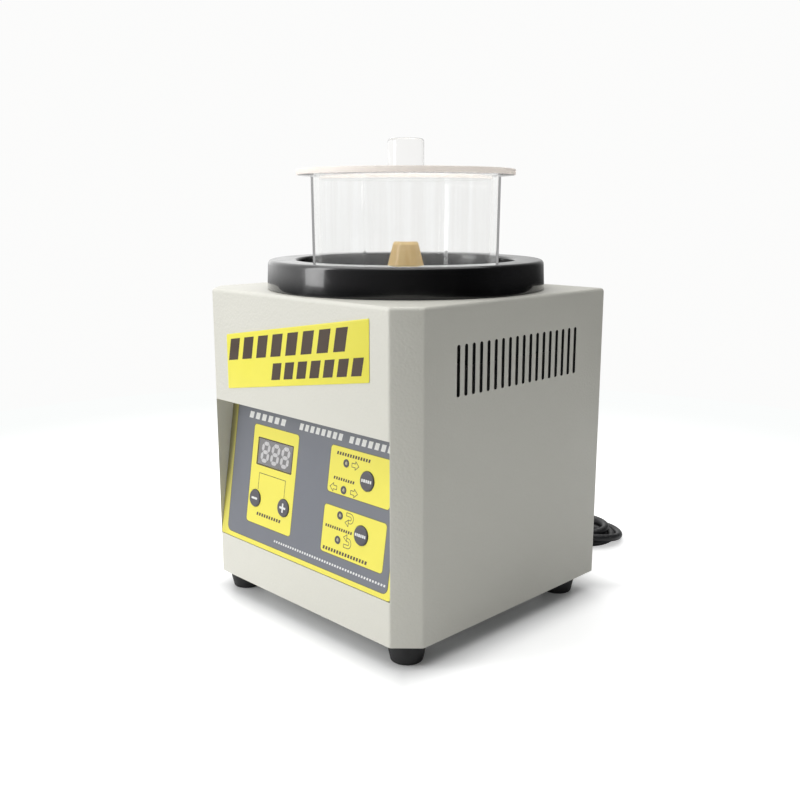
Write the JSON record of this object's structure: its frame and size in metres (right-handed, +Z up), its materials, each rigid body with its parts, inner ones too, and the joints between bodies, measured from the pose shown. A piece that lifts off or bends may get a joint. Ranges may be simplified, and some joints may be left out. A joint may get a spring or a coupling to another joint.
{
  "type": "magnetic tumbler",
  "caption": "Bench-top tumbler with a chamfered metal case, slanted control panel, round bowl tray and clear eight-sided bowl with a lift-off lid; a spinning magnet disc stirs the load.",
  "frame": {"origin": "on the bench, under the middle of the machine's width and depth", "axes": "+Z up, the control panel faces -Y, +X is to the right seen from the front"},
  "size_m": [0.24, 0.3678, 0.375],
  "materials": {
    "case_paint": "warm ivory textured powder coat",
    "zinc_plate": "zinc-plated sheet steel",
    "bracket_paint": "satin black paint",
    "foot_rubber": "matte moulded rubber",
    "label_film": "pale yellow printed film",
    "tray_moulding": "glossy black moulding",
    "post_resin": "tan moulded resin",
    "clear_acrylic": "clear moulded acrylic, shown as glass",
    "panel_film": "grey and pale yellow printed film",
    "display_lens": "smoked display lens",
    "display_body": "potted display block",
    "board_laminate": "green circuit board",
    "key_moulding": "dark grey moulding",
    "switch_moulding": "black moulding",
    "light_lens": "diffusing lens",
    "motor_casting": "die-cast, as cast",
    "motor_core": "varnished steel laminations and copper",
    "bearing_steel": "ground steel",
    "disc_aluminium": "turned",
    "fan_moulding": "moulded nylon",
    "magnet_plating": "nickel-plated magnets",
    "capacitor_can": "plain plastic can",
    "mains_moulding": "black moulding",
    "fuse_glass": "glass tube with plated ends",
    "cord_rubber": "black flexible cord cover"
  },
  "bodies": {
    "case": {"case_shell": "case_paint", "back_panel": "case_paint", "base_plate": "zinc_plate", "foot_front_left": "foot_rubber", "foot_front_right": "foot_rubber", "foot_rear_left": "foot_rubber", "foot_rear_right": "foot_rubber", "front_label": "label_film", "bowl_tray": "tray_moulding", "locating_post": "post_resin", "panel_plate": "zinc_plate", "panel_overlay": "panel_film", "display_window": "display_lens", "display_module": "display_body", "control_board": "board_laminate", "key_switch_minus": "switch_moulding", "key_switch_plus": "switch_moulding", "key_switch_select": "switch_moulding", "key_switch_start": "switch_moulding", "light_one_way": "light_lens", "light_two_way": "light_lens", "light_running": "light_lens", "light_stopped": "light_lens", "motor_bracket": "bracket_paint", "motor_housing": "motor_casting", "motor_stator": "motor_core", "motor_end_cap": "motor_casting", "upper_bearing": "bearing_steel", "lower_bearing": "bearing_steel", "run_capacitor": "capacitor_can", "transformer": "motor_core", "rocker_housing": "mains_moulding", "fuse_holder": "mains_moulding", "strain_relief": "cord_rubber", "power_cord": "cord_rubber", "cord_coil": "cord_rubber", "power_cord_tail": "cord_rubber", "plug": "cord_rubber"},
    "bowl": {"bowl": "clear_acrylic"},
    "lid": {"lid_disc": "clear_acrylic", "lid_knob": "clear_acrylic"},
    "rotor": {"motor_rotor": "motor_core", "motor_shaft": "bearing_steel", "magnet_disc": "disc_aluminium", "shaft_nut": "bearing_steel", "cooling_fan": "fan_moulding", "magnet_1": "magnet_plating", "magnet_2": "magnet_plating", "magnet_3": "magnet_plating", "magnet_4": "magnet_plating", "magnet_5": "magnet_plating", "magnet_6": "magnet_plating"},
    "key_minus": {"key_minus": "key_moulding"},
    "key_plus": {"key_plus": "key_moulding"},
    "key_select": {"key_select": "key_moulding"},
    "key_start": {"key_start": "key_moulding"},
    "power_switch": {"rocker_key": "mains_moulding"},
    "fuse_cap": {"fuse_cap": "mains_moulding", "fuse_link": "fuse_glass"}
  },
  "joints": [
    {"name": "bowl_lift", "type": "slide", "parent": "case", "child": "bowl", "axis": [0, 0, 1], "range_m": [0, 0.15]},
    {"name": "lid_lift", "type": "slide", "parent": "bowl", "child": "lid", "axis": [0, 0, 1], "range_m": [0, 0.08]},
    {"name": "rotor_spin", "type": "hinge", "parent": "case", "child": "rotor", "pos_m": [0, 0.0016, 0.17], "axis": [0, 0, 1], "continuous": true},
    {"name": "key_minus_press", "type": "slide", "parent": "case", "child": "key_minus", "axis": [0, 0.9888, -0.1492], "range_m": [0, 0.0005], "stiffness_N_per_m": 600},
    {"name": "key_plus_press", "type": "slide", "parent": "case", "child": "key_plus", "axis": [0, 0.9888, -0.1492], "range_m": [0, 0.0005], "stiffness_N_per_m": 600},
    {"name": "key_select_press", "type": "slide", "parent": "case", "child": "key_select", "axis": [0, 0.9888, -0.1492], "range_m": [0, 0.0005], "stiffness_N_per_m": 600},
    {"name": "key_start_press", "type": "slide", "parent": "case", "child": "key_start", "axis": [0, 0.9888, -0.1492], "range_m": [0, 0.0005], "stiffness_N_per_m": 600},
    {"name": "power_switch_rock", "type": "hinge", "parent": "case", "child": "power_switch", "pos_m": [0.085, 0.1058, 0.052], "axis": [-1, 0, 0], "range_deg": [0, 18]},
    {"name": "fuse_cap_turn", "type": "hinge", "parent": "case", "child": "fuse_cap", "pos_m": [0.085, 0.1078, 0.088], "axis": [0, -1, 0], "range_deg": [0, 90]}
  ]
}
